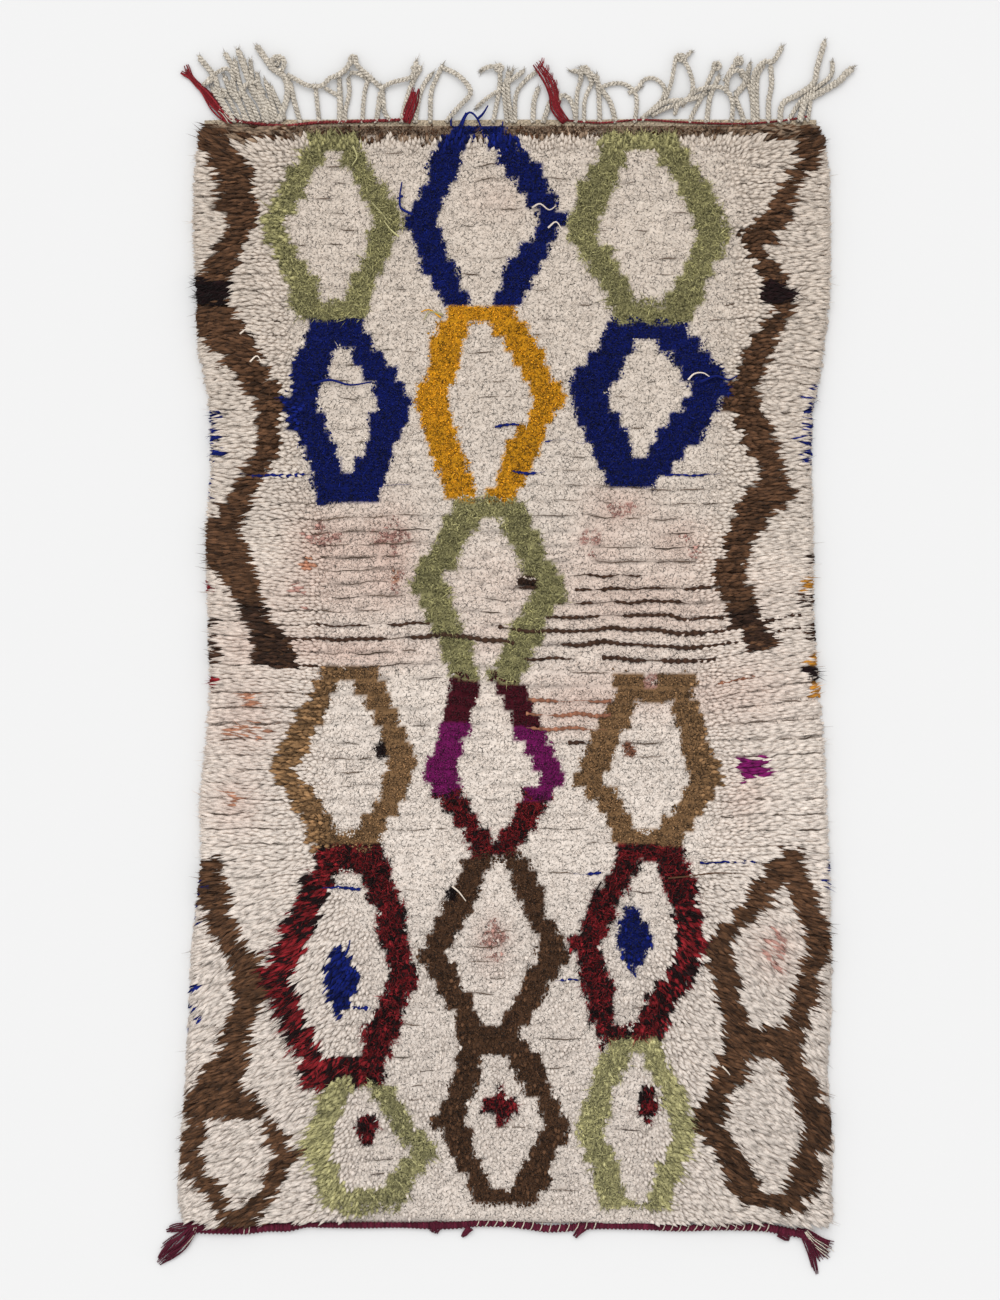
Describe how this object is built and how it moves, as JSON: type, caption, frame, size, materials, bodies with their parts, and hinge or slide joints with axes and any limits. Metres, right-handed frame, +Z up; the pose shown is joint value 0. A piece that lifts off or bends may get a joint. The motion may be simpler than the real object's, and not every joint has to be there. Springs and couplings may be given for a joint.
{
  "type": "moroccan rug",
  "caption": "Flat hand-knotted wool pile rug with a lozenge lattice on ivory, a twisted warp fringe at one end and a bound cord with tassels at the other.",
  "frame": {"origin": "middle of the pile field's underside, on the floor", "axes": "+Z up from the floor, +Y along the rug towards the fringed end, +X across the rug"},
  "size_m": [1.1163, 1.9775, 0.0292],
  "materials": {
    "pile_wool": "matt hand-spun wool pile, undyed ivory with dyed lozenges",
    "warp_yarn": "matt twisted undyed warp yarn",
    "red_yarn": "matt dyed wool yarn",
    "burgundy_yarn": "matt dyed wool yarn"
  },
  "bodies": {
    "root": {"pile_rug": "pile_wool", "top_fringe": "warp_yarn", "red_twining_left": "red_yarn", "red_twining_right": "red_yarn", "bottom_binding": "burgundy_yarn", "tassel_left": "burgundy_yarn", "tassel_right": "burgundy_yarn"}
  },
  "joints": []
}
